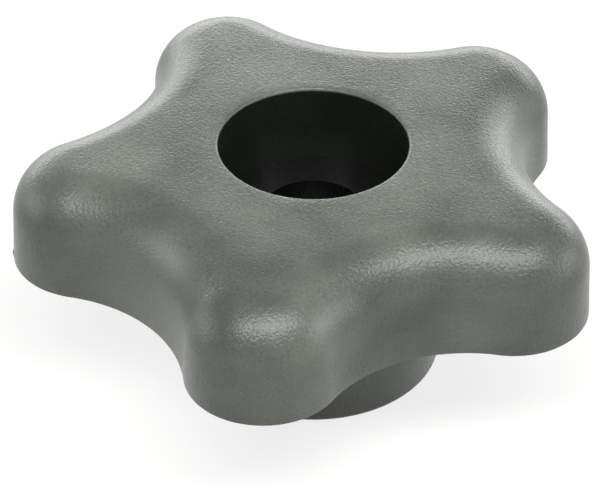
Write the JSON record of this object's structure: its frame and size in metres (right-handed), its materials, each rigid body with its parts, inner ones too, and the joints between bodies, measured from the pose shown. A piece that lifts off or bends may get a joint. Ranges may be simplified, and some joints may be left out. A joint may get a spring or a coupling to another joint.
{
  "type": "star knob",
  "caption": "Lobed hand knob with a domed top, rolled edges, a raised hub with a threaded steel insert and a round recess over the stud.",
  "frame": {"origin": "centre of the hub's lower face, the seat that is screwed down", "axes": "+Z along the thread axis, from the seat up to the domed top; one lobe points along -Y"},
  "size_m": [0.0482, 0.0464, 0.0209],
  "materials": {
    "knob_body": "dark grey glass-filled nylon, moulded, with a fine spark-eroded grain",
    "hex_nut": "steel, bright zinc plated"
  },
  "bodies": {
    "root": {"knob_body": "knob_body", "hex_nut": "hex_nut"}
  },
  "joints": []
}
